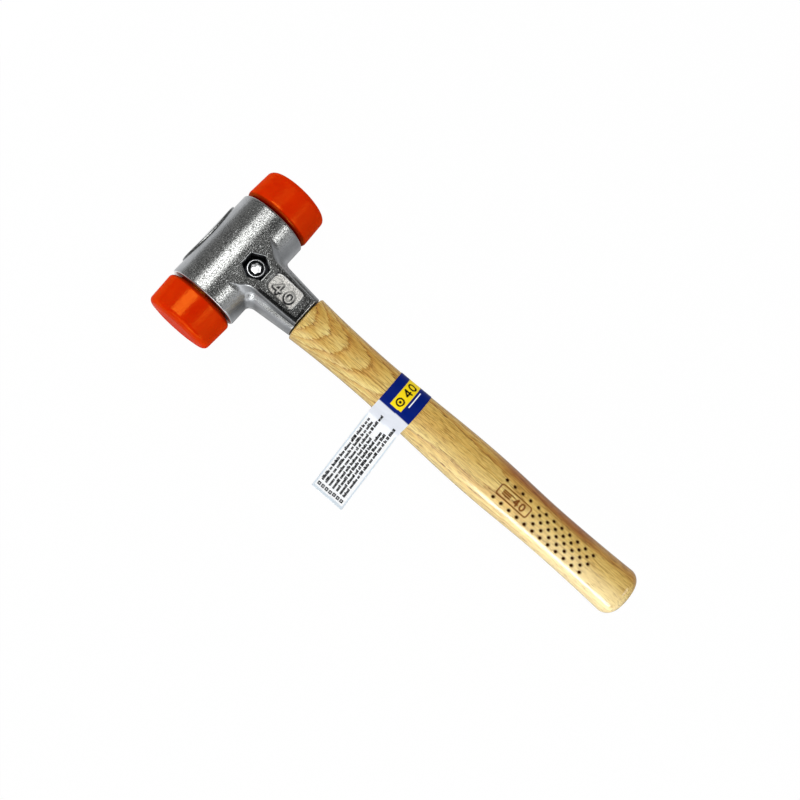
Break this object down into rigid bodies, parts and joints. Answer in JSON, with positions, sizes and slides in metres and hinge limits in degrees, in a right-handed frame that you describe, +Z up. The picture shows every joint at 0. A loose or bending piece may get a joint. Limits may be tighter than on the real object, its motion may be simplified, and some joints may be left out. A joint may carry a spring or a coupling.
{
  "type": "soft face hammer",
  "caption": "Soft face hammer with a split cast clamp head, exchangeable plastic striking faces, a clamp screw with nut and an oval hickory handle with a label flag.",
  "frame": {"origin": "crossing of the head axis and the handle axis, in the middle of the head on the parting plane", "axes": "+X along the handle from the head to the butt, +Y along the head axis, +Z up along the clamp screw towards its head, the hammer lying on its rear casting"},
  "size_m": [0.2981, 0.1128, 0.0406],
  "materials": {
    "casting": "shot blasted and bright plated, fine grain",
    "plated_steel": "zinc plated",
    "face_plastic": "moulded, satin gloss",
    "hickory": "clear lacquer",
    "label_film": "printed film, gloss"
  },
  "bodies": {
    "base": {"rear_housing": "casting", "clamp_nut": "plated_steel", "handle": "hickory", "label": "label_film"},
    "front": {"front_housing": "casting", "spring_washer": "plated_steel"},
    "screw": {"clamp_screw": "plated_steel"},
    "left": {"left_face": "face_plastic"},
    "right": {"right_face": "face_plastic"}
  },
  "joints": [
    {"name": "front_lift", "type": "slide", "parent": "base", "child": "front", "axis": [0, 0, 1], "range_m": [0, 0.005]},
    {"name": "screw_turn", "type": "hinge", "parent": "front", "child": "screw", "pos_m": [0.0122, 0, 0], "axis": [0, 0, 1], "range_deg": [0, 1800]},
    {"name": "left_pull", "type": "slide", "parent": "base", "child": "left", "axis": [0, -1, 0], "range_m": [0, 0.03]},
    {"name": "right_pull", "type": "slide", "parent": "base", "child": "right", "axis": [0, 1, 0], "range_m": [0, 0.03]}
  ],
  "couplings": [
    {"joint": "screw_turn", "follows": "front_lift", "rad_per_m": 6283.2}
  ]
}
